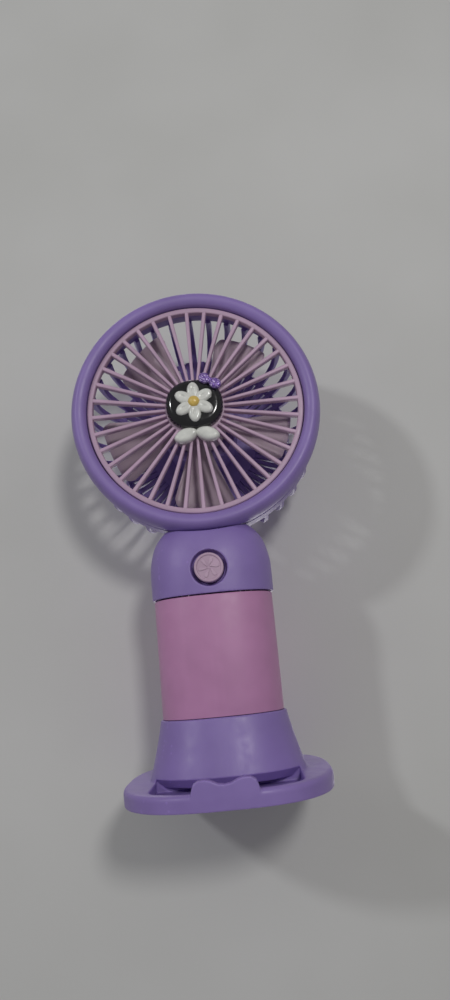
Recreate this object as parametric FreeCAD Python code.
import FreeCAD, Part
import math
import os

# Handheld electric fan that plugs into a small desk stand.
# Frame: the origin is the centre of the stand's resting plane, on the handle's axis.
# +Z points up the handle, the fan blows towards -Y, and +X is to the right seen from the front.
# Every size is in millimetres.

# ---- driving dimensions: stand ----
STAND_HALF_WIDTH = 28.3
STAND_HALF_DEPTH = 33.0
STAND_EXPONENT = 2.8
STAND_TOP_Z = 4.6
STAND_SKIRT_Z = 0.4
STAND_EDGE_RADIUS = 1.2
STAND_WALL = 1.6
COVER_THICKNESS = 1.0
COVER_GAP = 0.12
FOOT_RADIUS = 3.0
FOOT_HEIGHT = 0.9
FOOT_X = 17.5
FOOT_Y = 21.0
STAND_SCREW_X = 21.5
STAND_SCREW_Y = 11.5

# phone slot and its two-hump lip
SLOT_HALF_WIDTH = 19.8
SLOT_REAR_Y = -8.0
SLOT_FLOOR_Z = 2.4
SLOT_FLOOR_THICKNESS = 1.0
LIP_HALF_WIDTH = 8.4
LIP_CREST_X = 5.2
LIP_CREST_Z = 7.3
LIP_DIP_Z = 5.8
LIP_SHOULDER_X = 7.7
LIP_SHOULDER_Z = 6.3
LIP_THICKNESS = 2.2
LIP_STEP = 0.04

# flare that holds the handle: (z, half width, half depth)
FLARE_SECTIONS = (
    (STAND_TOP_Z - 1.2, 21.8, 18.0),
    (7.0, 21.0, 17.1),
    (11.0, 19.9, 15.9),
    (16.2, 18.6, 14.6),
    (20.2, 17.75, 13.65),
)
SOCKET_FLOOR_Z = 4.9

# ---- driving dimensions: handle ----
OVAL_EXPONENT = 2.4
SLEEVE_HALF_WIDTH = 17.15
SLEEVE_HALF_DEPTH = 13.1
SLEEVE_BOTTOM_Z = 20.35
SLEEVE_TOP_Z = 53.1
SLEEVE_WALL = 1.6
SEAM_GAP = 0.2
PLUG_HALF_WIDTH = 16.25
PLUG_HALF_DEPTH = 12.2
PLUG_BOTTOM_Z = 5.1
PLUG_WALL = 1.4
PLUG_SPIGOT_TOP_Z = 24.0
SLIDE_CLEARANCE = 0.08
FIT_GAP = 0.08

# shoulder piece under the head: (z, half width, half depth)
COLLAR_SECTIONS = (
    (SLEEVE_TOP_Z + SEAM_GAP, 17.7, 13.45),
    (57.5, 17.75, 13.5),
    (62.0, 17.7, 13.4),
    (65.6, 17.1, 13.0),
    (69.0, 16.0, 12.2),
    (71.5, 14.3, 11.2),
    (74.0, 11.6, 9.4),
    (76.5, 8.0, 6.6),
)
COLLAR_WALL = 1.7
COLLAR_SPIGOT_BOTTOM_Z = 49.0
COLLAR_SPIGOT_WALL = 1.2
COLLAR_CEILING_Z = 69.6
COLLAR_SADDLE_RADIUS = 37.35
COLLAR_SCREW_X = 9.7
COLLAR_SCREW_Z = 55.8
BOSS_RADIUS = 2.0
SPLIT_GAP = 0.03

# ---- driving dimensions: button and electronics ----
BUTTON_Z = 60.5
BUTTON_RADIUS = 4.15
BUTTON_FRONT_Y = -13.7
BUTTON_CLEARANCE = 0.08
BUTTON_DISH_RADIUS = 5.2
BUTTON_DISH_FLOOR_RADIUS = 4.95
BUTTON_DISH_DEPTH = 1.1
BUTTON_FLANGE_RADIUS = 5.2
BUTTON_STEM_RADIUS = 1.5
ICON_BLADES = 6
BOARD_FRONT_Y = 5.6
BOARD_THICKNESS = 1.0
BOARD_HALF_WIDTH = 11.0
BOARD_BOTTOM_Z = 57.9
BOARD_TOP_Z = 69.2
SWITCH_SIZE = 6.0
SWITCH_DEPTH = 3.4
PLUNGER_RADIUS = 1.6
PLUNGER_PROUD = 1.4
USB_WIDTH = 8.9
USB_HEIGHT = 3.2
USB_Z = 60.2
USB_WALL = 0.3
LENS_X = 8.6
LENS_Z = 64.6
LENS_RADIUS = 1.0
CELL_RADIUS = 7.0
CELL_BOTTOM_Z = 7.1
CELL_LENGTH = 49.0
CELL_Y = 0.0
WIRE_RADIUS = 0.5
WIRE_BEND_RADIUS = 1.5

# ---- driving dimensions: head ----
HEAD_CENTRE_Z = 108.8
RING_OUTER_RADIUS = 37.3
RING_CREST_RADIUS = 34.8
RING_INNER_RADIUS = 32.45
RING_FRONT_Y = -12.7
RING_WIDEST_Y = -7.6
RING_INNER_EDGE_Y = -10.9
RING_REAR_Y = -2.0
RING_REAR_RADIUS = 37.0
RING_WALL = 1.5
RING_SPIGOT_LENGTH = 1.8
LEDGE_RADIUS = 31.2
LEDGE_FRONT_Y = -8.2
LEDGE_THICKNESS = 1.0
GRILLE_RADIUS = 32.2
GRILLE_RIM_WIDTH = 1.6
GRILLE_FRONT_Y = -10.5
GRILLE_REAR_Y = -8.25
GRILLE_HUB_RADIUS = 8.8
RIB_COUNT = 36
RIB_WIDTH_AT_RIM = 1.25
RIB_WIDTH_AT_HUB = 0.85
GUARD_FRONT_Y = -1.95
GUARD_BAND_REAR_Y = 5.0
GUARD_BAND_WALL = 1.4
GUARD_REAR_Y = 27.8
FIN_COUNT = 36
FIN_WIDTH = 1.6
FIN_DEPTH = 2.4
# outer outline of the fins as (radius, y), from the band to the rear hub
FIN_OUTLINE = (
    (36.8, 4.0),
    (37.1, 10.0),
    (36.3, 15.8),
    (33.8, 20.8),
    (29.6, 24.4),
    (24.0, 26.6),
    (18.0, 27.5),
    (12.6, 27.8),
)
# the in-between fins follow the same outline from the cage's inner ring to the hub
INNER_FIN_OUTLINE = FIN_OUTLINE[4:7]
GUARD_RING_OUTER_RADIUS = 29.0
GUARD_RING_INNER_RADIUS = 27.2
GUARD_RING_FRONT_Y = 23.3
GUARD_RING_REAR_Y = 24.3
GUARD_HUB_RADIUS = 18.6
GUARD_HUB_THICKNESS = 3.2
CUP_RADIUS = 12.0
CUP_FRONT_Y = 8.3
CUP_LIP_RADIUS = 8.6
STRUT_WIDTH = 6.0
STRUT_CHANNEL_WIDTH = 3.6
TONGUE_HALF_WIDTH = 7.0
TONGUE_FRONT_Y = -1.4
TONGUE_REAR_Y = 4.4
TONGUE_BOTTOM_Z = 65.0
TONGUE_TOP_Z = 73.4

# ---- driving dimensions: rotor and motor ----
BLADE_COUNT = 5
BLADE_FIRST_ANGLE = 35.5
BLADE_SPAN = 39.0
BLADE_TIP_RADIUS = 29.4
BLADE_TIP_FLATTENING = 0.6
BLADE_ROOT_RADIUS = 7.5
BLADE_MIDDLE_Y = 0.8
BLADE_RISE = 8.0
BLADE_THICKNESS = 1.1
BLADE_CORNER_RADIUS = 3.0
ROTOR_HUB_RADIUS = 9.0
ROTOR_HUB_FRONT_Y = -4.6
ROTOR_HUB_REAR_Y = 7.4
ROTOR_HUB_WALL = 1.2
ROTOR_BORE_WALL = 1.6
MOTOR_RADIUS = 10.0
MOTOR_FRONT_Y = 9.1
MOTOR_CAN_REAR_Y = 22.6
MOTOR_REAR_Y = 25.0
MOTOR_WALL = 0.7
BUSH_RADIUS = 2.6
BUSH_LENGTH = 2.2
SHAFT_RADIUS = 1.0
SHAFT_FRONT_Y = -2.4
SHAFT_REAR_Y = 25.3
RUNNING_CLEARANCE = 0.03
ASSEMBLY_CLEARANCE = 0.01
MAGNET_INNER_RADIUS = 7.5
MAGNET_ANGLE = 130.0
ARMATURE_RADIUS = 7.1
ARMATURE_CORE_RADIUS = 2.6
ARMATURE_FRONT_Y = 12.6
ARMATURE_REAR_Y = 18.4
POLE_COUNT = 3
POLE_ANGLE = 96.0
POLE_SHOE_THICKNESS = 1.3
POLE_WIDTH = 2.2
COMMUTATOR_RADIUS = 2.0
COMMUTATOR_FRONT_Y = 19.0
COMMUTATOR_REAR_Y = 21.6

# ---- driving dimensions: emblem on the grille hub ----
EMBLEM_HALF_WIDTH = 8.5
EMBLEM_HALF_HEIGHT = 7.6
EMBLEM_EXPONENT = 2.3
EMBLEM_CENTRE_Z = HEAD_CENTRE_Z + 0.4
EMBLEM_THICKNESS = 3.2
PETAL_COUNT = 6
PETAL_LENGTH = 5.4
PETAL_WIDTH = 3.3
PETAL_ROOT_RADIUS = 0.9
PETAL_THICKNESS = 1.0
EMBLEM_CENTRE_RADIUS = 1.7
LEAF_LENGTH = 7.6
LEAF_WIDTH = 4.4

UP = FreeCAD.Vector(0, 0, 1)
REARWARD = FreeCAD.Vector(0, 1, 0)
HEAD_CENTRE = FreeCAD.Vector(0, 0, HEAD_CENTRE_Z)
FULL_TURN = 360.0


# ---- shape helpers ----
def oval_wire(half_x, half_y, z, exponent=OVAL_EXPONENT, point_count=32):
    """A closed superellipse outline at height z."""
    points = []
    for index in range(point_count):
        angle = 2 * math.pi * index / point_count
        across = math.cos(angle)
        along = math.sin(angle)
        x = half_x * math.copysign(abs(across) ** (2 / exponent), across)
        y = half_y * math.copysign(abs(along) ** (2 / exponent), along)
        points.append(FreeCAD.Vector(x, y, z))
    outline = Part.BSplineCurve()
    outline.interpolate(Points=points, PeriodicFlag=True)
    return Part.Wire([outline.toShape()])


def oval_prism(half_x, half_y, bottom_z, top_z, exponent=OVAL_EXPONENT):
    face = Part.Face(oval_wire(half_x, half_y, bottom_z, exponent))
    return face.extrude(UP * (top_z - bottom_z))


def oval_loft(sections, inset=0.0):
    """A smooth solid through oval sections (z, half width, half depth), each drawn in by inset."""
    wires = [oval_wire(half_x - inset, half_y - inset, z) for z, half_x, half_y in sections]
    return Part.makeLoft(wires, True)


def oval_tube(half_x, half_y, wall, bottom_z, top_z):
    outer = oval_prism(half_x, half_y, bottom_z, top_z)
    return outer.cut(oval_prism(half_x - wall, half_y - wall, bottom_z, top_z))


def block(x_range, y_range, z_range):
    corner = FreeCAD.Vector(x_range[0], y_range[0], z_range[0])
    return Part.makeBox(
        x_range[1] - x_range[0], y_range[1] - y_range[0], z_range[1] - z_range[0], corner
    )


def rod_along_y(radius, front_y, rear_y, x=0.0, z=HEAD_CENTRE_Z):
    return Part.makeCylinder(radius, rear_y - front_y, FreeCAD.Vector(x, front_y, z), REARWARD)


def tube_along_y(outer_radius, inner_radius, front_y, rear_y, x=0.0, z=HEAD_CENTRE_Z):
    outer = rod_along_y(outer_radius, front_y, rear_y, x, z)
    return outer.cut(rod_along_y(inner_radius, front_y, rear_y, x, z))


def rod_along_z(radius, bottom_z, top_z, x=0.0, y=0.0):
    return Part.makeCylinder(radius, top_z - bottom_z, FreeCAD.Vector(x, y, bottom_z), UP)


def head_point(radius, y):
    """A point of a profile that is turned about the head's axis."""
    return FreeCAD.Vector(radius, y, HEAD_CENTRE_Z)


def face_point(radius, angle, y):
    """A point at a clock angle about the head's axis, seen from the front, in radians."""
    return FreeCAD.Vector(radius * math.sin(angle), y, HEAD_CENTRE_Z + radius * math.cos(angle))


def turned_about_head(wire):
    return Part.Face(wire).revolve(HEAD_CENTRE, REARWARD, FULL_TURN)


def around_head(shape, angle):
    """The shape turned about the head's axis, clockwise seen from the front."""
    turned = shape.copy()
    turned.rotate(HEAD_CENTRE, REARWARD, angle)
    return turned


def fused(shapes):
    return shapes[0].multiFuse(shapes[1:]).removeSplitter()


def smooth_edge(points):
    curve = Part.BSplineCurve()
    curve.interpolate(Points=points)
    return curve.toShape()


def quarter_ellipse(centre, start, end, point_count=7):
    """The quarter ellipse about centre that leaves start and arrives at end, as a profile edge."""
    points = []
    for index in range(point_count):
        angle = math.pi / 2 * index / (point_count - 1)
        points.append(centre + (start - centre) * math.cos(angle) + (end - centre) * math.sin(angle))
    return smooth_edge(points)


def rounded_path(points, bend_radius):
    """Straight runs through points, joined by arcs of bend_radius that touch both runs."""
    edges = []
    start = points[0]
    for before, corner, after in zip(points, points[1:], points[2:]):
        inward = (corner - before).normalize()
        outward = (after - corner).normalize()
        half_turn = inward.getAngle(outward) / 2
        trim = bend_radius * math.tan(half_turn)
        toward_centre = (outward - inward).normalize()
        middle = corner + toward_centre * (bend_radius / math.cos(half_turn) - bend_radius)
        bend_start = corner - inward * trim
        bend_end = corner + outward * trim
        edges.append(Part.makeLine(start, bend_start))
        edges.append(Part.Arc(bend_start, middle, bend_end).toShape())
        start = bend_end
    edges.append(Part.makeLine(start, points[-1]))
    return Part.Wire(edges)


def wire_along(points, bend_radius=WIRE_BEND_RADIUS):
    """A round insulated lead through points, with an even bend at each of them."""
    direction = points[1] - points[0]
    section = Part.Wire([Part.makeCircle(WIRE_RADIUS, points[0], direction)])
    return rounded_path(points, bend_radius).makePipe(Part.Face(section))


def screw(head_radius, head_height, shank_radius, length, position, direction):
    """A small screw whose head's outer face is at position, pointing along direction."""
    head = Part.makeCylinder(head_radius, head_height, position, direction)
    shank = Part.makeCylinder(shank_radius, length, position, direction)
    recess = Part.makeCylinder(head_radius * 0.45, head_height * 0.5, position, direction)
    return head.fuse(shank).cut(recess)


# ---- stand ----
STAND_SCREW_PLACES = [
    (side * STAND_SCREW_X, end * STAND_SCREW_Y) for side in (-1, 1) for end in (-1, 1)
]
FOOT_PLACES = [(side * FOOT_X, end * FOOT_Y) for side in (-1, 1) for end in (-1, 1)]
STAND_SCREW_HEAD_RADIUS = 1.7
STAND_SCREW_HEAD_HEIGHT = 0.5
STAND_SCREW_SHANK_RADIUS = 0.8
STAND_SCREW_LENGTH = 2.6
STAND_ROOF_Z = 3.2


def stand_plate():
    plate = oval_prism(
        STAND_HALF_WIDTH, STAND_HALF_DEPTH, STAND_SKIRT_Z, STAND_TOP_Z, STAND_EXPONENT
    )
    top_edges = [edge for edge in plate.Edges if edge.BoundBox.ZMin > STAND_TOP_Z - 0.1]
    return plate.makeFillet(STAND_EDGE_RADIUS, top_edges)


def lip_blank():
    """The two-hump front lip, before its front is trimmed to the plate's outline."""
    outline = [
        (-LIP_HALF_WIDTH - 0.8, STAND_TOP_Z - STAND_EDGE_RADIUS),
        (-LIP_SHOULDER_X, LIP_SHOULDER_Z),
        (-LIP_CREST_X, LIP_CREST_Z),
        (0.0, LIP_DIP_Z),
        (LIP_CREST_X, LIP_CREST_Z),
        (LIP_SHOULDER_X, LIP_SHOULDER_Z),
        (LIP_HALF_WIDTH + 0.8, STAND_TOP_Z - STAND_EDGE_RADIUS),
    ]
    points = [FreeCAD.Vector(x, -STAND_HALF_DEPTH, z) for x, z in outline]
    humps = smooth_edge(points)
    foot = Part.makeLine(points[-1], points[0])
    return Part.Face(Part.Wire([humps, foot])).extrude(REARWARD * STAND_HALF_DEPTH)


def stand_lip():
    """The lip follows the rim's outer wall, a hair inside it."""
    outer = oval_prism(
        STAND_HALF_WIDTH - LIP_STEP,
        STAND_HALF_DEPTH - LIP_STEP,
        STAND_SKIRT_Z,
        LIP_CREST_Z + 1,
        STAND_EXPONENT,
    )
    inner = oval_prism(
        STAND_HALF_WIDTH - LIP_THICKNESS,
        STAND_HALF_DEPTH - LIP_THICKNESS,
        STAND_SKIRT_Z,
        LIP_CREST_Z + 1,
        STAND_EXPONENT,
    )
    return lip_blank().common(outer.cut(inner))


def slot_space(bottom_z, top_z, inset):
    """The space of the phone slot between the flare and the rim's wall."""
    inside_rim = oval_prism(
        STAND_HALF_WIDTH - inset, STAND_HALF_DEPTH - inset, bottom_z, top_z, STAND_EXPONENT
    )
    reach = SLOT_HALF_WIDTH + STAND_WALL - inset
    channel = block((-reach, reach), (-STAND_HALF_DEPTH, SLOT_REAR_Y), (bottom_z, top_z))
    return inside_rim.common(channel)


def stand_underside():
    """The hollow under the plate, shallower below the slot's floor."""
    hollow = oval_prism(
        STAND_HALF_WIDTH - STAND_WALL,
        STAND_HALF_DEPTH - STAND_WALL,
        STAND_SKIRT_Z,
        STAND_ROOF_Z,
        STAND_EXPONENT,
    )
    slot_floor = slot_space(SLOT_FLOOR_Z - SLOT_FLOOR_THICKNESS, STAND_ROOF_Z, 0.0)
    cover_seat_z = STAND_SKIRT_Z + COVER_THICKNESS
    bosses = [
        rod_along_z(BOSS_RADIUS, cover_seat_z, STAND_ROOF_Z, x, y) for x, y in STAND_SCREW_PLACES
    ]
    return hollow.cut(Part.makeCompound([slot_floor] + bosses))


def stand_shell():
    flare = oval_loft(FLARE_SECTIONS)
    body = stand_plate().cut(slot_space(SLOT_FLOOR_Z, STAND_TOP_Z, STAND_WALL))
    body = body.fuse(flare).fuse(stand_lip())
    socket = oval_prism(
        PLUG_HALF_WIDTH + SLIDE_CLEARANCE,
        PLUG_HALF_DEPTH + SLIDE_CLEARANCE,
        SOCKET_FLOOR_Z,
        SLEEVE_BOTTOM_Z,
    )
    pilots = [
        rod_along_z(STAND_SCREW_SHANK_RADIUS, STAND_SKIRT_Z, STAND_ROOF_Z, x, y)
        for x, y in STAND_SCREW_PLACES
    ]
    return body.cut(Part.makeCompound([socket, stand_underside()] + pilots))


def stand_bottom_cover():
    plate = oval_prism(
        STAND_HALF_WIDTH - STAND_WALL - COVER_GAP,
        STAND_HALF_DEPTH - STAND_WALL - COVER_GAP,
        STAND_SKIRT_Z,
        STAND_SKIRT_Z + COVER_THICKNESS - ASSEMBLY_CLEARANCE,
        STAND_EXPONENT,
    )
    openings = [
        rod_along_z(FOOT_RADIUS + COVER_GAP, STAND_SKIRT_Z, FOOT_HEIGHT, x, y)
        for x, y in FOOT_PLACES
    ]
    seat_top_z = STAND_SKIRT_Z + STAND_SCREW_HEAD_HEIGHT
    for x, y in STAND_SCREW_PLACES:
        seat_radius = STAND_SCREW_HEAD_RADIUS + COVER_GAP
        openings.append(rod_along_z(seat_radius, STAND_SKIRT_Z, seat_top_z, x, y))
        hole_radius = STAND_SCREW_SHANK_RADIUS + COVER_GAP
        openings.append(rod_along_z(hole_radius, STAND_SKIRT_Z, STAND_TOP_Z, x, y))
    return plate.cut(Part.makeCompound(openings))


def stand_screws():
    shank_radius = STAND_SCREW_SHANK_RADIUS - ASSEMBLY_CLEARANCE
    return Part.makeCompound([
        screw(
            STAND_SCREW_HEAD_RADIUS,
            STAND_SCREW_HEAD_HEIGHT - ASSEMBLY_CLEARANCE,
            shank_radius,
            STAND_SCREW_LENGTH,
            FreeCAD.Vector(x, y, STAND_SKIRT_Z),
            UP,
        )
        for x, y in STAND_SCREW_PLACES
    ])


def stand_feet():
    pads = []
    for x, y in FOOT_PLACES:
        pad = rod_along_z(FOOT_RADIUS, 0, FOOT_HEIGHT - ASSEMBLY_CLEARANCE, x, y)
        bottom_edges = [edge for edge in pad.Edges if edge.BoundBox.ZMax < 0.1]
        pads.append(pad.makeFillet(0.2, bottom_edges))
    return Part.makeCompound(pads)


# ---- handle ----
def handle_sleeve():
    return oval_tube(
        SLEEVE_HALF_WIDTH, SLEEVE_HALF_DEPTH, SLEEVE_WALL, SLEEVE_BOTTOM_Z, SLEEVE_TOP_Z
    )


def handle_end_cap():
    """The plug that stands in the socket and closes the sleeve's bottom."""
    plug = oval_prism(PLUG_HALF_WIDTH, PLUG_HALF_DEPTH, PLUG_BOTTOM_Z, SLEEVE_BOTTOM_Z)
    bottom_edges = [edge for edge in plug.Edges if edge.BoundBox.ZMax < PLUG_BOTTOM_Z + 0.1]
    plug = plug.makeFillet(1.0, bottom_edges)
    inner_half_width = SLEEVE_HALF_WIDTH - SLEEVE_WALL - FIT_GAP
    inner_half_depth = SLEEVE_HALF_DEPTH - SLEEVE_WALL - FIT_GAP
    spigot = oval_prism(inner_half_width, inner_half_depth, SLEEVE_BOTTOM_Z, PLUG_SPIGOT_TOP_Z)
    hollow = oval_prism(
        inner_half_width - PLUG_WALL,
        inner_half_depth - PLUG_WALL,
        PLUG_BOTTOM_Z + PLUG_WALL,
        PLUG_SPIGOT_TOP_Z,
    )
    return plug.fuse(spigot).cut(hollow)


def collar_outer():
    """The whole shoulder piece as one block, hollowed above by the head's round wall."""
    block_shape = oval_loft(COLLAR_SECTIONS)
    saddle = rod_along_y(COLLAR_SADDLE_RADIUS, -STAND_HALF_DEPTH, STAND_HALF_DEPTH)
    return block_shape.cut(saddle)


def collar_inner():
    sections = [section for section in COLLAR_SECTIONS if section[0] < COLLAR_CEILING_Z]
    cavity = oval_loft(sections, COLLAR_WALL)
    ceiling = block((-20, 20), (-20, 20), (COLLAR_CEILING_Z - 1.6, COLLAR_CEILING_Z + 10))
    return cavity.cut(ceiling)


def collar_spigot():
    half_width = SLEEVE_HALF_WIDTH - SLEEVE_WALL - FIT_GAP
    half_depth = SLEEVE_HALF_DEPTH - SLEEVE_WALL - FIT_GAP
    top_z = SLEEVE_TOP_Z + SEAM_GAP
    tube = oval_tube(
        half_width, half_depth, COLLAR_SPIGOT_WALL, COLLAR_SPIGOT_BOTTOM_Z, top_z + COLLAR_WALL
    )
    ledge = oval_prism(
        COLLAR_SECTIONS[0][1] - COLLAR_WALL / 2,
        COLLAR_SECTIONS[0][2] - COLLAR_WALL / 2,
        top_z,
        top_z + COLLAR_WALL,
    )
    opening = oval_prism(
        half_width - COLLAR_SPIGOT_WALL, half_depth - COLLAR_SPIGOT_WALL, top_z, top_z + COLLAR_WALL
    )
    return tube.fuse(ledge.cut(opening))


def collar_bosses():
    bosses = []
    for side in (-1, 1):
        boss = rod_along_y(
            BOSS_RADIUS, -STAND_HALF_DEPTH, STAND_HALF_DEPTH, side * COLLAR_SCREW_X, COLLAR_SCREW_Z
        )
        bosses.append(boss.common(collar_outer()))
    return bosses


def collar_body():
    shell = collar_outer().cut(collar_inner())
    body = fused([shell, collar_spigot()] + collar_bosses())
    tongue_hole = block(
        (-TONGUE_HALF_WIDTH - FIT_GAP, TONGUE_HALF_WIDTH + FIT_GAP),
        (TONGUE_FRONT_Y - FIT_GAP, TONGUE_REAR_Y + FIT_GAP),
        (TONGUE_BOTTOM_Z - FIT_GAP, TONGUE_TOP_Z + 4),
    )
    return body.cut(tongue_hole)


COLLAR_SCREW_SHANK_RADIUS = 0.9
COLLAR_SCREW_HEAD_RADIUS = 1.7
COLLAR_SCREW_HEAD_HEIGHT = 1.2
COLLAR_SCREW_HEAD_Y = 9.6
COLLAR_SCREW_LENGTH = 15.0


def collar_front():
    body = collar_body()
    half = block((-30, 30), (-30, -SPLIT_GAP), (COLLAR_SPIGOT_BOTTOM_Z - 1, 80))
    front = body.common(half)
    button_hole = rod_along_y(
        BUTTON_RADIUS + BUTTON_CLEARANCE, -STAND_HALF_DEPTH, 0, 0.0, BUTTON_Z
    )
    surface_y = -COLLAR_SECTIONS[1][2]
    dish = Part.makeCone(
        BUTTON_DISH_RADIUS,
        BUTTON_DISH_FLOOR_RADIUS,
        BUTTON_DISH_DEPTH,
        FreeCAD.Vector(0, surface_y, BUTTON_Z),
        REARWARD,
    )
    dish_mouth = rod_along_y(BUTTON_DISH_RADIUS, surface_y - 1, surface_y, 0.0, BUTTON_Z)
    pilots = [
        rod_along_y(
            COLLAR_SCREW_SHANK_RADIUS,
            COLLAR_SCREW_HEAD_Y - COLLAR_SCREW_LENGTH - 0.5,
            0,
            side * COLLAR_SCREW_X,
            COLLAR_SCREW_Z,
        )
        for side in (-1, 1)
    ]
    return front.cut(Part.makeCompound([button_hole] + pilots)).cut(dish.fuse(dish_mouth))


def usb_profile(width, height, front_y, rear_y):
    """A prism along Y with the round-ended outline of a charging socket."""
    radius = height / 2
    reach = width / 2 - radius
    middle = block((-reach, reach), (front_y, rear_y), (USB_Z - radius, USB_Z + radius))
    ends = [rod_along_y(radius, front_y, rear_y, side * reach, USB_Z) for side in (-1, 1)]
    return fused([middle] + ends)


def collar_rear():
    body = collar_body()
    half = block((-30, 30), (SPLIT_GAP, 30), (COLLAR_SPIGOT_BOTTOM_Z - 1, 80))
    rear = body.common(half)
    openings = [usb_profile(USB_WIDTH + 0.4, USB_HEIGHT + 0.4, 6.0, STAND_HALF_DEPTH)]
    openings.append(rod_along_y(LENS_RADIUS + FIT_GAP, 8.0, STAND_HALF_DEPTH, LENS_X, LENS_Z))
    for side in (-1, 1):
        x = side * COLLAR_SCREW_X
        head_space = rod_along_y(
            COLLAR_SCREW_HEAD_RADIUS + 0.1,
            COLLAR_SCREW_HEAD_Y - COLLAR_SCREW_HEAD_HEIGHT,
            STAND_HALF_DEPTH,
            x,
            COLLAR_SCREW_Z,
        )
        shank_space = rod_along_y(COLLAR_SCREW_SHANK_RADIUS + 0.1, 0, 20, x, COLLAR_SCREW_Z)
        openings += [head_space, shank_space]
    return rear.cut(Part.makeCompound(openings))


def collar_screws():
    toward_front = FreeCAD.Vector(0, -1, 0)
    return Part.makeCompound([
        screw(
            COLLAR_SCREW_HEAD_RADIUS,
            COLLAR_SCREW_HEAD_HEIGHT - ASSEMBLY_CLEARANCE,
            COLLAR_SCREW_SHANK_RADIUS - ASSEMBLY_CLEARANCE,
            COLLAR_SCREW_LENGTH,
            FreeCAD.Vector(side * COLLAR_SCREW_X, COLLAR_SCREW_HEAD_Y, COLLAR_SCREW_Z),
            toward_front,
        )
        for side in (-1, 1)
    ])


# ---- button and electronics ----
BUTTON_FACE_DEPTH = 0.35
ICON_INNER_RADIUS = 0.7
ICON_OUTER_RADIUS = 3.3
BUTTON_FLANGE_FRONT_Y = -11.3
BUTTON_FLANGE_THICKNESS = 0.9
BUTTON_STEM_GAP = 0.02


def pinwheel_blade(angle):
    """One curved vane of the pinwheel icon, as a prism along Y."""
    front_y = BUTTON_FRONT_Y - 0.01
    inner = FreeCAD.Vector(0, front_y, BUTTON_Z + ICON_INNER_RADIUS)
    outer_left = FreeCAD.Vector(-0.2, front_y, BUTTON_Z + ICON_OUTER_RADIUS)
    outer_right = FreeCAD.Vector(1.5, front_y, BUTTON_Z + ICON_OUTER_RADIUS - 0.5)
    bow = FreeCAD.Vector(1.0, front_y, BUTTON_Z + ICON_OUTER_RADIUS / 2)
    left = Part.makeLine(inner, outer_left)
    top = Part.Arc(
        outer_left, FreeCAD.Vector(0.7, front_y, BUTTON_Z + ICON_OUTER_RADIUS), outer_right
    ).toShape()
    right = Part.Arc(outer_right, bow, inner).toShape()
    vane = Part.Face(Part.Wire([left, top, right])).extrude(REARWARD * BUTTON_FACE_DEPTH)
    vane.rotate(FreeCAD.Vector(0, 0, BUTTON_Z), REARWARD, angle)
    return vane


def switch_front_y():
    return BOARD_FRONT_Y - SWITCH_DEPTH


def plunger_front_y():
    return switch_front_y() - PLUNGER_PROUD


def power_button():
    cap = rod_along_y(BUTTON_RADIUS, BUTTON_FRONT_Y, BUTTON_FLANGE_FRONT_Y, 0.0, BUTTON_Z)
    front_edges = [edge for edge in cap.Edges if edge.BoundBox.YMax < BUTTON_FRONT_Y + 0.1]
    cap = cap.makeFillet(0.5, front_edges)
    vanes = [pinwheel_blade(FULL_TURN * index / ICON_BLADES) for index in range(ICON_BLADES)]
    cap = cap.cut(Part.makeCompound(vanes))
    flange = rod_along_y(
        BUTTON_FLANGE_RADIUS,
        BUTTON_FLANGE_FRONT_Y,
        BUTTON_FLANGE_FRONT_Y + BUTTON_FLANGE_THICKNESS,
        0.0,
        BUTTON_Z,
    )
    stem = rod_along_y(
        BUTTON_STEM_RADIUS,
        BUTTON_FLANGE_FRONT_Y,
        plunger_front_y() - BUTTON_STEM_GAP,
        0.0,
        BUTTON_Z,
    )
    return fused([cap, flange, stem])


def switch_body():
    half = SWITCH_SIZE / 2
    body = block(
        (-half, half),
        (switch_front_y(), BOARD_FRONT_Y - ASSEMBLY_CLEARANCE),
        (BUTTON_Z - half, BUTTON_Z + half),
    )
    well = rod_along_y(
        PLUNGER_RADIUS + 0.05, switch_front_y(), switch_front_y() + 2.0, 0.0, BUTTON_Z
    )
    return body.cut(well)


def switch_plunger():
    return rod_along_y(PLUNGER_RADIUS, plunger_front_y(), switch_front_y() + 0.9, 0.0, BUTTON_Z)


def circuit_board():
    return block(
        (-BOARD_HALF_WIDTH, BOARD_HALF_WIDTH),
        (BOARD_FRONT_Y, BOARD_FRONT_Y + BOARD_THICKNESS),
        (BOARD_BOTTOM_Z, BOARD_TOP_Z - 2.0),
    )


def board_components():
    """Control chip, inductor and two capacitors on the board's front face."""
    rear_y = BOARD_FRONT_Y - ASSEMBLY_CLEARANCE
    chip = block((4.2, 8.2), (rear_y - 1.4, rear_y), (59.0, 63.0))
    inductor = block((-8.6, -4.6), (rear_y - 2.0, rear_y), (59.2, 63.2))
    capacitors = [block((x, x + 1.6), (rear_y - 0.8, rear_y), (64.4, 65.2)) for x in (4.4, 6.8)]
    return Part.makeCompound([chip, inductor] + capacitors)


def usb_socket():
    front_y = BOARD_FRONT_Y + BOARD_THICKNESS + ASSEMBLY_CLEARANCE
    rear_y = front_y + 6.6
    shell = usb_profile(USB_WIDTH, USB_HEIGHT, front_y, rear_y)
    cavity = usb_profile(
        USB_WIDTH - 2 * USB_WALL, USB_HEIGHT - 2 * USB_WALL, front_y + 1.2, rear_y
    )
    tongue = block((-3.3, 3.3), (front_y + 0.6, rear_y - 0.8), (USB_Z - 0.35, USB_Z + 0.35))
    return shell.cut(cavity).fuse(tongue)


def indicator_lens():
    rear_y = 12.3
    return rod_along_y(LENS_RADIUS, BOARD_FRONT_Y + BOARD_THICKNESS + 0.3, rear_y, LENS_X, LENS_Z)


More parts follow.
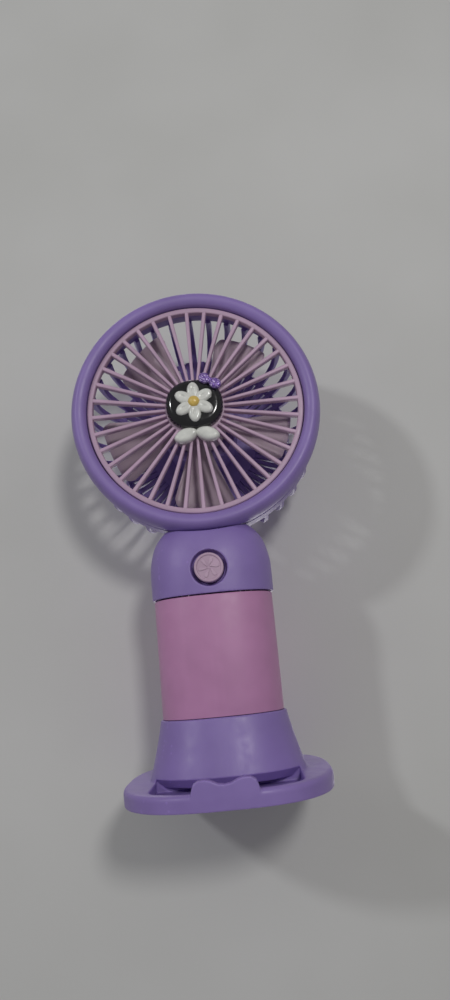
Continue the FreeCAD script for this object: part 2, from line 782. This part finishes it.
def battery_cell():
    top_z = CELL_BOTTOM_Z + CELL_LENGTH
    can = rod_along_z(CELL_RADIUS, CELL_BOTTOM_Z, top_z - 1.0, 0.0, CELL_Y)
    groove = rod_along_z(CELL_RADIUS + 1, top_z - 3.0, top_z - 2.4, 0.0, CELL_Y)
    groove = groove.cut(rod_along_z(CELL_RADIUS - 0.4, top_z - 3.0, top_z - 2.4, 0.0, CELL_Y))
    terminal = rod_along_z(2.6, top_z - 1.0, top_z, 0.0, CELL_Y)
    return can.cut(groove).fuse(terminal)


def battery_tabs():
    top_z = CELL_BOTTOM_Z + CELL_LENGTH
    upper = block((-2.0, 5.6), (CELL_Y - 1.6, CELL_Y + 1.6), (top_z + 0.01, top_z + 0.16))
    lower_z = CELL_BOTTOM_Z - 0.16
    lower = block((-2.0, 5.6), (CELL_Y - 1.6, CELL_Y + 1.6), (lower_z, CELL_BOTTOM_Z - 0.01))
    return Part.makeCompound([upper, lower])


CRADLE_RING_HEIGHTS = (26.0, 35.0, 44.0)
CRADLE_RING_THICKNESS = 1.6
CRADLE_RAIL_X = 9.4


def battery_cradle():
    """Three oval ribs and two rails that hold the cell in the middle of the sleeve."""
    half_width = SLEEVE_HALF_WIDTH - SLEEVE_WALL - FIT_GAP
    half_depth = SLEEVE_HALF_DEPTH - SLEEVE_WALL - FIT_GAP
    ribs = [
        oval_prism(half_width, half_depth, z, z + CRADLE_RING_THICKNESS)
        for z in CRADLE_RING_HEIGHTS
    ]
    rail_top_z = CRADLE_RING_HEIGHTS[-1] + CRADLE_RING_THICKNESS
    rails = [
        block(
            (side * CRADLE_RAIL_X - 1.0, side * CRADLE_RAIL_X + 1.0),
            (-4.0, 4.0),
            (CRADLE_RING_HEIGHTS[0], rail_top_z),
        )
        for side in (-1, 1)
    ]
    pocket = rod_along_z(CELL_RADIUS + FIT_GAP, 20, 50, 0.0, CELL_Y)
    lead_gap = block((-2.0, 2.0), (CELL_RADIUS - 1, half_depth + 1), (20, 50))
    return fused(ribs + rails).cut(Part.makeCompound([pocket, lead_gap]))


def battery_lead_red():
    top_z = CELL_BOTTOM_Z + CELL_LENGTH
    return wire_along([
        FreeCAD.Vector(4.6, CELL_Y, top_z + 0.75),
        FreeCAD.Vector(6.6, 2.4, top_z + 1.0),
        FreeCAD.Vector(9.2, 4.6, BOARD_BOTTOM_Z + 0.6),
    ])


def battery_lead_black():
    """The long lead from the cell's bottom tab, up behind the cell, to the board."""
    side_y = CELL_RADIUS + 1.4
    return wire_along([
        FreeCAD.Vector(0.0, CELL_RADIUS + 0.9, CELL_BOTTOM_Z + 1.4),
        FreeCAD.Vector(0.0, side_y, CELL_BOTTOM_Z + 5.0),
        FreeCAD.Vector(0.0, side_y, 48.0),
        FreeCAD.Vector(-2.4, side_y, BOARD_BOTTOM_Z - 2.6),
        FreeCAD.Vector(-6.4, side_y - 0.6, BOARD_BOTTOM_Z + 1.2),
    ])


def motor_lead(side):
    """A lead from a motor terminal, down the wide strut and through the neck to the board."""
    x = side * 1.1
    behind_motor_y = MOTOR_REAR_Y + WIRE_RADIUS + 0.08
    return wire_along([
        FreeCAD.Vector(x, behind_motor_y, HEAD_CENTRE_Z - 8.6),
        FreeCAD.Vector(x, 25.4, HEAD_CENTRE_Z - 17.0),
        FreeCAD.Vector(x, 23.5, HEAD_CENTRE_Z - 25.6),
        FreeCAD.Vector(x, 19.6, HEAD_CENTRE_Z - 31.2),
        FreeCAD.Vector(x, 13.0, HEAD_CENTRE_Z - 34.6),
        FreeCAD.Vector(x, 3.2, HEAD_CENTRE_Z - 35.0),
        FreeCAD.Vector(x, 2.2, TONGUE_BOTTOM_Z + 2.0),
        FreeCAD.Vector(x * 1.6, 4.9, TONGUE_BOTTOM_Z - 0.6),
    ])


def motor_lead_red():
    return motor_lead(1)


def motor_lead_black():
    return motor_lead(-1)


# ---- head ----
def front_ring():
    """Half-round bezel with a ledge for the grille and a spigot for the rear guard."""
    inner_edge = head_point(RING_INNER_RADIUS, RING_INNER_EDGE_Y)
    crest = head_point(RING_CREST_RADIUS, RING_FRONT_Y)
    widest = head_point(RING_OUTER_RADIUS, RING_WIDEST_Y)
    inner_curve = quarter_ellipse(
        head_point(RING_CREST_RADIUS, RING_INNER_EDGE_Y), inner_edge, crest
    )
    outer_curve = quarter_ellipse(head_point(RING_CREST_RADIUS, RING_WIDEST_Y), crest, widest)
    spigot_radius = RING_REAR_RADIUS - RING_WALL
    ledge_rear_y = LEDGE_FRONT_Y + LEDGE_THICKNESS
    corners = [
        widest,
        head_point(RING_REAR_RADIUS, RING_REAR_Y),
        head_point(spigot_radius, RING_REAR_Y),
        head_point(spigot_radius, RING_REAR_Y + RING_SPIGOT_LENGTH),
        head_point(spigot_radius - RING_WALL, RING_REAR_Y + RING_SPIGOT_LENGTH),
        head_point(spigot_radius - RING_WALL, ledge_rear_y),
        head_point(LEDGE_RADIUS, ledge_rear_y),
        head_point(LEDGE_RADIUS, LEDGE_FRONT_Y),
        head_point(RING_INNER_RADIUS, LEDGE_FRONT_Y),
        inner_edge,
    ]
    lines = [Part.makeLine(corners[i], corners[i + 1]) for i in range(len(corners) - 1)]
    return turned_about_head(Part.Wire([inner_curve, outer_curve] + lines))


def grille_rib(angle):
    """A straight radial rib that widens from the hub to the rim."""
    half_hub = RIB_WIDTH_AT_HUB / 2
    half_rim = RIB_WIDTH_AT_RIM / 2
    inner_z = HEAD_CENTRE_Z + GRILLE_HUB_RADIUS - 0.5
    outer_z = HEAD_CENTRE_Z + GRILLE_RADIUS - GRILLE_RIM_WIDTH / 2
    corners = [
        FreeCAD.Vector(-half_hub, GRILLE_FRONT_Y + 0.1, inner_z),
        FreeCAD.Vector(-half_rim, GRILLE_FRONT_Y + 0.1, outer_z),
        FreeCAD.Vector(half_rim, GRILLE_FRONT_Y + 0.1, outer_z),
        FreeCAD.Vector(half_hub, GRILLE_FRONT_Y + 0.1, inner_z),
    ]
    outline = Part.makePolygon(corners + corners[:1])
    depth = GRILLE_REAR_Y - GRILLE_FRONT_Y - 0.1
    rib = Part.Face(outline).extrude(REARWARD * depth)
    front_edges = [
        edge for edge in rib.Edges
        if edge.BoundBox.YMax < GRILLE_FRONT_Y + 0.2 and edge.BoundBox.ZLength > 5
    ]
    return around_head(rib.makeChamfer(0.22, front_edges), angle)


def front_grille():
    rim = tube_along_y(
        GRILLE_RADIUS, GRILLE_RADIUS - GRILLE_RIM_WIDTH, GRILLE_FRONT_Y, GRILLE_REAR_Y
    )
    front_edges = [edge for edge in rim.Edges if edge.BoundBox.YMax < GRILLE_FRONT_Y + 0.1]
    rim = rim.makeFillet(0.35, front_edges)
    hub = rod_along_y(GRILLE_HUB_RADIUS, GRILLE_FRONT_Y, GRILLE_REAR_Y)
    ribs = [grille_rib(FULL_TURN * index / RIB_COUNT) for index in range(RIB_COUNT)]
    return fused([rim, hub] + ribs)


def inset_outline(outline, depth):
    """The fin's outline moved inwards by depth, square to its own direction."""
    moved = []
    last = len(outline) - 1
    for index, (radius, y) in enumerate(outline):
        before = outline[max(index - 1, 0)]
        after = outline[min(index + 1, last)]
        step_radius = after[0] - before[0]
        step_y = after[1] - before[1]
        length = math.hypot(step_radius, step_y)
        moved.append((radius - depth * step_y / length, y + depth * step_radius / length))
    return moved


def fin_face(depth, outline=FIN_OUTLINE):
    """The side view of a bar that lies depth deep under an outline of (radius, y)."""
    outer_points = [head_point(radius, y) for radius, y in outline]
    inner_points = [head_point(radius, y) for radius, y in inset_outline(outline, depth)]
    outer = smooth_edge(outer_points)
    inner = smooth_edge(inner_points)
    band_end = Part.makeLine(inner_points[0], outer_points[0])
    hub_end = Part.makeLine(outer_points[-1], inner_points[-1])
    return Part.Face(Part.Wire([outer, hub_end, inner, band_end]))


def guard_fin(angle, width=FIN_WIDTH, depth=FIN_DEPTH, outline=FIN_OUTLINE):
    """A curved bar along the outline to the rear hub; angle 0 is the fin at the top."""
    face = fin_face(depth, outline)
    face.translate(UP * (-width / 2))
    fin = face.extrude(UP * width)
    return around_head(fin, angle - 90.0)


def guard_strut_channel():
    """The space for the motor leads inside the wide bottom strut."""
    channel = fin_face(FIN_DEPTH + 3.0)
    channel.translate(UP * (-STRUT_CHANNEL_WIDTH / 2))
    channel = channel.extrude(UP * STRUT_CHANNEL_WIDTH)
    shifted = around_head(channel, 90.0)
    shifted.translate(FreeCAD.Vector(0, -1.4, 1.4))
    return shifted


def rear_guard():
    """Band, cage of forked fins, motor cup and the tongue that enters the shoulder piece."""
    band_outer = FIN_OUTLINE[0][0]
    band = tube_along_y(band_outer, band_outer - GUARD_BAND_WALL, GUARD_FRONT_Y, GUARD_BAND_REAR_Y)
    spigot_clearance = rod_along_y(
        RING_REAR_RADIUS - RING_WALL + FIT_GAP, GUARD_FRONT_Y, RING_REAR_Y + RING_SPIGOT_LENGTH + 0.1
    )
    fins = [
        guard_fin(FULL_TURN * index / FIN_COUNT)
        for index in range(FIN_COUNT)
        if index != FIN_COUNT // 2
    ]
    inner_fins = [
        guard_fin(FULL_TURN * (index + 0.5) / FIN_COUNT, outline=INNER_FIN_OUTLINE)
        for index in range(FIN_COUNT)
    ]
    ring = tube_along_y(
        GUARD_RING_OUTER_RADIUS, GUARD_RING_INNER_RADIUS, GUARD_RING_FRONT_Y, GUARD_RING_REAR_Y
    )
    strut = guard_fin(FULL_TURN / 2, STRUT_WIDTH, FIN_DEPTH + 1.6)
    hub_front_y = GUARD_REAR_Y - GUARD_HUB_THICKNESS
    hub = tube_along_y(GUARD_HUB_RADIUS, MOTOR_RADIUS + FIT_GAP, hub_front_y, GUARD_REAR_Y)
    cup = tube_along_y(CUP_RADIUS, MOTOR_RADIUS + FIT_GAP, CUP_FRONT_Y, GUARD_REAR_Y)
    cup_lip = tube_along_y(
        CUP_RADIUS, CUP_LIP_RADIUS, CUP_FRONT_Y, MOTOR_FRONT_Y - ASSEMBLY_CLEARANCE
    )
    tongue = block(
        (-TONGUE_HALF_WIDTH, TONGUE_HALF_WIDTH),
        (TONGUE_FRONT_Y, TONGUE_REAR_Y),
        (TONGUE_BOTTOM_Z, TONGUE_TOP_Z),
    )
    tongue_channel = block(
        (-STRUT_CHANNEL_WIDTH / 2 - 0.5, STRUT_CHANNEL_WIDTH / 2 + 0.5),
        (0.9, GUARD_BAND_REAR_Y + 0.6),
        (TONGUE_BOTTOM_Z, HEAD_CENTRE_Z - 32),
    )
    cup_window = block(
        (-STRUT_CHANNEL_WIDTH / 2, STRUT_CHANNEL_WIDTH / 2),
        (hub_front_y - 2.4, hub_front_y + 1.8),
        (HEAD_CENTRE_Z - GUARD_HUB_RADIUS - 1, HEAD_CENTRE_Z - CUP_RADIUS + 3),
    )
    inside_motor = rod_along_y(MOTOR_RADIUS + FIT_GAP, MOTOR_FRONT_Y, GUARD_REAR_Y + 1)
    solid = fused([band, hub, ring, cup, cup_lip, strut, tongue] + fins + inner_fins)
    return solid.cut(
        Part.makeCompound([spigot_clearance.common(solid), tongue_channel])
    ).cut(guard_strut_channel()).cut(cup_window).cut(inside_motor)


def motor_cover():
    """The round cap that closes the motor cup at the back of the guard."""
    cap = rod_along_y(MOTOR_RADIUS, GUARD_REAR_Y - 1.6, GUARD_REAR_Y + 0.5)
    rear_edges = [edge for edge in cap.Edges if edge.BoundBox.YMin > GUARD_REAR_Y]
    return cap.makeFillet(0.45, rear_edges)


# ---- emblem: a generic flower medallion ----
def dome_over(outline_face, front_y, thickness, edge_radius):
    """A flat shape with a rounded front edge, standing on the plane front_y + thickness."""
    solid = outline_face.extrude(REARWARD * thickness)
    front_edges = [edge for edge in solid.Edges if edge.BoundBox.YMax < front_y + 0.1]
    return solid.makeFillet(edge_radius, front_edges)


def medallion_face(margin, y):
    """The medallion's rounded outline on a plane across Y, grown by margin."""
    outline = Part.Face(
        oval_wire(EMBLEM_HALF_WIDTH + margin, EMBLEM_HALF_HEIGHT + margin, 0.0, EMBLEM_EXPONENT)
    )
    outline.rotate(FreeCAD.Vector(0, 0, 0), FreeCAD.Vector(1, 0, 0), 90)
    outline.translate(FreeCAD.Vector(0, y, EMBLEM_CENTRE_Z))
    return outline


def ellipse_face(half_width, half_height, y, centre_z):
    """An ellipse on a plane across Y."""
    centre = FreeCAD.Vector(0, y, centre_z)
    ends = [
        centre + FreeCAD.Vector(half_width, 0, 0),
        centre + FreeCAD.Vector(0, 0, half_height),
    ]
    if half_height > half_width:
        ends.reverse()
    return Part.Face(Part.Wire([Part.Ellipse(ends[0], ends[1], centre).toShape()]))


def emblem_base():
    front_y = GRILLE_FRONT_Y - EMBLEM_THICKNESS
    outline = medallion_face(0.0, front_y)
    return dome_over(outline, front_y, EMBLEM_THICKNESS - ASSEMBLY_CLEARANCE, 1.6)


def petal(angle, front_y):
    middle_z = EMBLEM_CENTRE_Z + PETAL_ROOT_RADIUS + PETAL_LENGTH / 2
    outline = ellipse_face(PETAL_WIDTH / 2, PETAL_LENGTH / 2, front_y, middle_z)
    shape = outline.extrude(REARWARD * PETAL_THICKNESS)
    shape.rotate(FreeCAD.Vector(0, 0, EMBLEM_CENTRE_Z), REARWARD, angle)
    return shape


def emblem_petals():
    front_y = GRILLE_FRONT_Y - EMBLEM_THICKNESS - PETAL_THICKNESS - ASSEMBLY_CLEARANCE
    petals = [petal(FULL_TURN * index / PETAL_COUNT, front_y) for index in range(PETAL_COUNT)]
    disc = rod_along_y(1.6, front_y, front_y + PETAL_THICKNESS, 0.0, EMBLEM_CENTRE_Z)
    return fused([disc] + petals)


def emblem_centre():
    rear_y = GRILLE_FRONT_Y - EMBLEM_THICKNESS - PETAL_THICKNESS - 2 * ASSEMBLY_CLEARANCE
    dome = Part.makeSphere(
        EMBLEM_CENTRE_RADIUS, FreeCAD.Vector(0, rear_y + EMBLEM_CENTRE_RADIUS * 0.45, EMBLEM_CENTRE_Z)
    )
    reach = 2 * EMBLEM_CENTRE_RADIUS
    keep = block(
        (-reach, reach), (rear_y - reach, rear_y), (EMBLEM_CENTRE_Z - reach, EMBLEM_CENTRE_Z + reach)
    )
    return dome.common(keep)


def emblem_leaves():
    """Two leaves that stand on the grille hub below the medallion, trimmed to clear it."""
    front_y = GRILLE_FRONT_Y - EMBLEM_THICKNESS + 0.6
    thickness = EMBLEM_THICKNESS - 0.6 - ASSEMBLY_CLEARANCE
    leaves = []
    for side in (-1, 1):
        outline = ellipse_face(LEAF_LENGTH / 2, LEAF_WIDTH / 2, front_y, 0.0)
        leaf = dome_over(outline, front_y, thickness, 0.9)
        leaf.rotate(FreeCAD.Vector(0, 0, 0), REARWARD, side * 16)
        leaf.translate(FreeCAD.Vector(side * 3.0, 0, EMBLEM_CENTRE_Z - EMBLEM_HALF_HEIGHT - 1.4))
        leaves.append(leaf)
    clearance = medallion_face(0.05, front_y - 5).extrude(REARWARD * 20)
    return leaves[0].fuse(leaves[1]).cut(clearance)


def emblem_bow():
    """A small bow on the medallion's upper right edge: two loops and a knot."""
    rear_y = GRILLE_FRONT_Y - EMBLEM_THICKNESS - ASSEMBLY_CLEARANCE
    front_y = rear_y - 1.2
    loops = []
    for side in (-1, 1):
        outline = ellipse_face(1.7, 1.5, front_y, 0.0)
        loop = dome_over(outline, front_y, 1.2, 0.5)
        loop.translate(FreeCAD.Vector(side * 1.9, 0, 0))
        loops.append(loop)
    knot = rod_along_y(0.95, front_y - 0.3, rear_y, 0.0, 0.0)
    bow = fused([knot] + loops)
    bow.rotate(FreeCAD.Vector(0, 0, 0), REARWARD, 32)
    bow.translate(FreeCAD.Vector(5.2, 0, EMBLEM_CENTRE_Z + 6.0))
    return bow


# ---- rotor ----
def blade_sheet():
    """A helicoid around the head's axis, wide enough to cut one blade from."""
    rows = []
    for radius in (5.0, 14.0, 22.0, 31.0):
        row = []
        for step in range(7):
            share = step / 6 - 0.5
            angle = math.radians(BLADE_SPAN * 1.5 * share)
            y = BLADE_MIDDLE_Y - BLADE_THICKNESS / 2 - BLADE_RISE * 1.5 * share
            row.append(face_point(radius, angle, y))
        rows.append(row)
    surface = Part.BSplineSurface()
    surface.interpolate(rows)
    return surface.toShape().extrude(REARWARD * BLADE_THICKNESS)


def blade_plan():
    """The blade's outline seen from the front, as a prism with rounded outer corners."""
    half = math.radians(BLADE_SPAN / 2)
    root_half = half * 0.8
    front_y = -15.0
    middle_radius = BLADE_TIP_RADIUS - BLADE_TIP_FLATTENING
    tip = [
        face_point(BLADE_TIP_RADIUS, -half, front_y),
        face_point(middle_radius, 0.0, front_y),
        face_point(BLADE_TIP_RADIUS, half, front_y),
    ]
    root = [
        face_point(BLADE_ROOT_RADIUS, root_half, front_y),
        face_point(BLADE_ROOT_RADIUS, -root_half, front_y),
    ]
    outline = Part.Wire([
        Part.Arc(tip[0], tip[1], tip[2]).toShape(),
        Part.makeLine(tip[2], root[0]),
        Part.makeLine(root[0], root[1]),
        Part.makeLine(root[1], tip[0]),
    ])
    prism = Part.Face(outline).extrude(REARWARD * 30)
    corner_edges = [
        edge for edge in prism.Edges
        if edge.BoundBox.YLength > 20 and edge.BoundBox.ZMin > HEAD_CENTRE_Z + BLADE_TIP_RADIUS / 2
    ]
    return prism.makeFillet(BLADE_CORNER_RADIUS, corner_edges)


def impeller():
    blade = blade_sheet().common(blade_plan())
    blades = [
        around_head(blade, BLADE_FIRST_ANGLE + FULL_TURN * index / BLADE_COUNT)
        for index in range(BLADE_COUNT)
    ]
    hub = rod_along_y(ROTOR_HUB_RADIUS, ROTOR_HUB_FRONT_Y, ROTOR_HUB_REAR_Y)
    front_edges = [edge for edge in hub.Edges if edge.BoundBox.YMax < ROTOR_HUB_FRONT_Y + 0.1]
    hub = hub.makeFillet(2.0, front_edges)
    hollow = tube_along_y(
        ROTOR_HUB_RADIUS - ROTOR_HUB_WALL,
        SHAFT_RADIUS + ROTOR_BORE_WALL,
        ROTOR_HUB_FRONT_Y + 2 * ROTOR_HUB_WALL,
        ROTOR_HUB_REAR_Y,
    )
    bore = rod_along_y(
        SHAFT_RADIUS + ASSEMBLY_CLEARANCE, SHAFT_FRONT_Y - ASSEMBLY_CLEARANCE, ROTOR_HUB_REAR_Y
    )
    return fused([hub] + blades).cut(Part.makeCompound([hollow, bore]))


# ---- motor ----
def motor_can():
    can = rod_along_y(MOTOR_RADIUS, MOTOR_FRONT_Y, MOTOR_CAN_REAR_Y)
    inside = rod_along_y(MOTOR_RADIUS - MOTOR_WALL, MOTOR_FRONT_Y + MOTOR_WALL, MOTOR_CAN_REAR_Y)
    bush_hole = rod_along_y(BUSH_RADIUS + ASSEMBLY_CLEARANCE, MOTOR_FRONT_Y, MOTOR_CAN_REAR_Y)
    return can.cut(inside).cut(bush_hole)


def motor_end_cap():
    cap = rod_along_y(MOTOR_RADIUS, MOTOR_CAN_REAR_Y + ASSEMBLY_CLEARANCE, MOTOR_REAR_Y)
    bush_hole = rod_along_y(BUSH_RADIUS + ASSEMBLY_CLEARANCE, MOTOR_CAN_REAR_Y, MOTOR_REAR_Y)
    slots = [
        block(
            (side * 1.1 - 0.5, side * 1.1 + 0.5),
            (MOTOR_CAN_REAR_Y, MOTOR_REAR_Y),
            (HEAD_CENTRE_Z - 7.6, HEAD_CENTRE_Z - 6.8),
        )
        for side in (-1, 1)
    ]
    return cap.cut(Part.makeCompound([bush_hole] + slots))


def bearing(front_y):
    return tube_along_y(BUSH_RADIUS, SHAFT_RADIUS + RUNNING_CLEARANCE, front_y, front_y + BUSH_LENGTH)


def motor_bushes():
    return Part.makeCompound([bearing(MOTOR_FRONT_Y), bearing(MOTOR_REAR_Y - BUSH_LENGTH)])


def arc_segment(outer_radius, inner_radius, front_y, rear_y, span, middle_angle):
    """A piece of a tube about the head's axis that spans an angle about middle_angle."""
    start = head_point(inner_radius, front_y)
    corners = [
        start,
        head_point(outer_radius, front_y),
        head_point(outer_radius, rear_y),
        head_point(inner_radius, rear_y),
        start,
    ]
    segment = Part.Face(Part.makePolygon(corners)).revolve(HEAD_CENTRE, REARWARD, span)
    return around_head(segment, middle_angle - 90.0 - span / 2)


def motor_magnets():
    outer_radius = MOTOR_RADIUS - MOTOR_WALL - ASSEMBLY_CLEARANCE
    front_y = ARMATURE_FRONT_Y - 1
    rear_y = ARMATURE_REAR_Y + 1
    return Part.makeCompound([
        arc_segment(outer_radius, MAGNET_INNER_RADIUS, front_y, rear_y, MAGNET_ANGLE, middle)
        for middle in (90.0, 270.0)
    ])


def motor_shaft():
    return rod_along_y(SHAFT_RADIUS, SHAFT_FRONT_Y, SHAFT_REAR_Y)


def armature_pole(angle):
    shoe = arc_segment(
        ARMATURE_RADIUS,
        ARMATURE_RADIUS - POLE_SHOE_THICKNESS,
        ARMATURE_FRONT_Y,
        ARMATURE_REAR_Y,
        POLE_ANGLE,
        0.0,
    )
    half = POLE_WIDTH / 2
    stem = block(
        (-half, half),
        (ARMATURE_FRONT_Y, ARMATURE_REAR_Y),
        (HEAD_CENTRE_Z + ARMATURE_CORE_RADIUS / 2, HEAD_CENTRE_Z + ARMATURE_RADIUS - 0.5),
    )
    return around_head(shoe.fuse(stem), angle)


def motor_armature():
    core = rod_along_y(ARMATURE_CORE_RADIUS, ARMATURE_FRONT_Y, ARMATURE_REAR_Y)
    poles = [armature_pole(FULL_TURN * index / POLE_COUNT) for index in range(POLE_COUNT)]
    bore = rod_along_y(SHAFT_RADIUS + ASSEMBLY_CLEARANCE, ARMATURE_FRONT_Y, ARMATURE_REAR_Y)
    return fused([core] + poles).cut(bore)


def motor_windings():
    """One coil around the stem of each armature pole."""
    half = POLE_WIDTH / 2
    inner_z = HEAD_CENTRE_Z + ARMATURE_CORE_RADIUS + 0.5
    outer_z = HEAD_CENTRE_Z + ARMATURE_RADIUS - POLE_SHOE_THICKNESS - 0.45
    outer = block(
        (-half - 0.7, half + 0.7), (ARMATURE_FRONT_Y - 0.6, ARMATURE_REAR_Y + 0.5), (inner_z, outer_z)
    )
    upright_edges = [edge for edge in outer.Edges if edge.BoundBox.ZLength > 1]
    outer = outer.makeFillet(0.5, upright_edges)
    inner = block(
        (-half - ASSEMBLY_CLEARANCE, half + ASSEMBLY_CLEARANCE),
        (ARMATURE_FRONT_Y - ASSEMBLY_CLEARANCE, ARMATURE_REAR_Y + ASSEMBLY_CLEARANCE),
        (inner_z, outer_z),
    )
    coil = outer.cut(inner)
    return Part.makeCompound(
        [around_head(coil, FULL_TURN * index / POLE_COUNT) for index in range(POLE_COUNT)]
    )


def motor_commutator():
    sleeve = tube_along_y(
        COMMUTATOR_RADIUS, SHAFT_RADIUS + ASSEMBLY_CLEARANCE, COMMUTATOR_FRONT_Y, COMMUTATOR_REAR_Y
    )
    slots = []
    for index in range(POLE_COUNT):
        slot = block(
            (-0.15, 0.15),
            (COMMUTATOR_FRONT_Y, COMMUTATOR_REAR_Y),
            (HEAD_CENTRE_Z + COMMUTATOR_RADIUS - 0.3, HEAD_CENTRE_Z + COMMUTATOR_RADIUS + 1),
        )
        slots.append(around_head(slot, 60 + FULL_TURN * index / POLE_COUNT))
    return sleeve.cut(Part.makeCompound(slots))


def motor_brushes():
    """Two leaf brushes beside the commutator, each with a foot on the end cap."""
    brushes = []
    for side in (-1, 1):
        near = COMMUTATOR_RADIUS + 0.12
        x_range = sorted((side * near, side * (near + 0.3)))
        leaf = block(
            x_range,
            (COMMUTATOR_FRONT_Y + 0.4, MOTOR_CAN_REAR_Y),
            (HEAD_CENTRE_Z - 6.0, HEAD_CENTRE_Z + 1.2),
        )
        brushes.append(leaf)
    return Part.makeCompound(brushes)


def motor_terminals():
    """The two solder tags that pass through the end cap."""
    gap = 0.05
    return Part.makeCompound([
        block(
            (side * 1.1 - 0.5 + gap, side * 1.1 + 0.5 - gap),
            (MOTOR_CAN_REAR_Y - 0.4, MOTOR_REAR_Y + 0.3),
            (HEAD_CENTRE_Z - 7.6 + gap, HEAD_CENTRE_Z - 6.8 - gap),
        )
        for side in (-1, 1)
    ])


BUILDERS = (
    stand_shell,
    stand_bottom_cover,
    stand_screws,
    stand_feet,
    handle_sleeve,
    handle_end_cap,
    collar_front,
    collar_rear,
    collar_screws,
    power_button,
    switch_body,
    switch_plunger,
    circuit_board,
    board_components,
    usb_socket,
    indicator_lens,
    battery_cell,
    battery_tabs,
    battery_cradle,
    battery_lead_red,
    battery_lead_black,
    motor_lead_red,
    motor_lead_black,
    front_ring,
    front_grille,
    rear_guard,
    motor_cover,
    emblem_base,
    emblem_petals,
    emblem_centre,
    emblem_leaves,
    emblem_bow,
    impeller,
    motor_can,
    motor_end_cap,
    motor_bushes,
    motor_magnets,
    motor_shaft,
    motor_armature,
    motor_windings,
    motor_commutator,
    motor_brushes,
    motor_terminals,
)


def main():
    os.makedirs("parts", exist_ok=True)
    for builder in BUILDERS:
        shape = builder()
        shape.exportStep("parts/%s.step" % builder.__name__)


main()
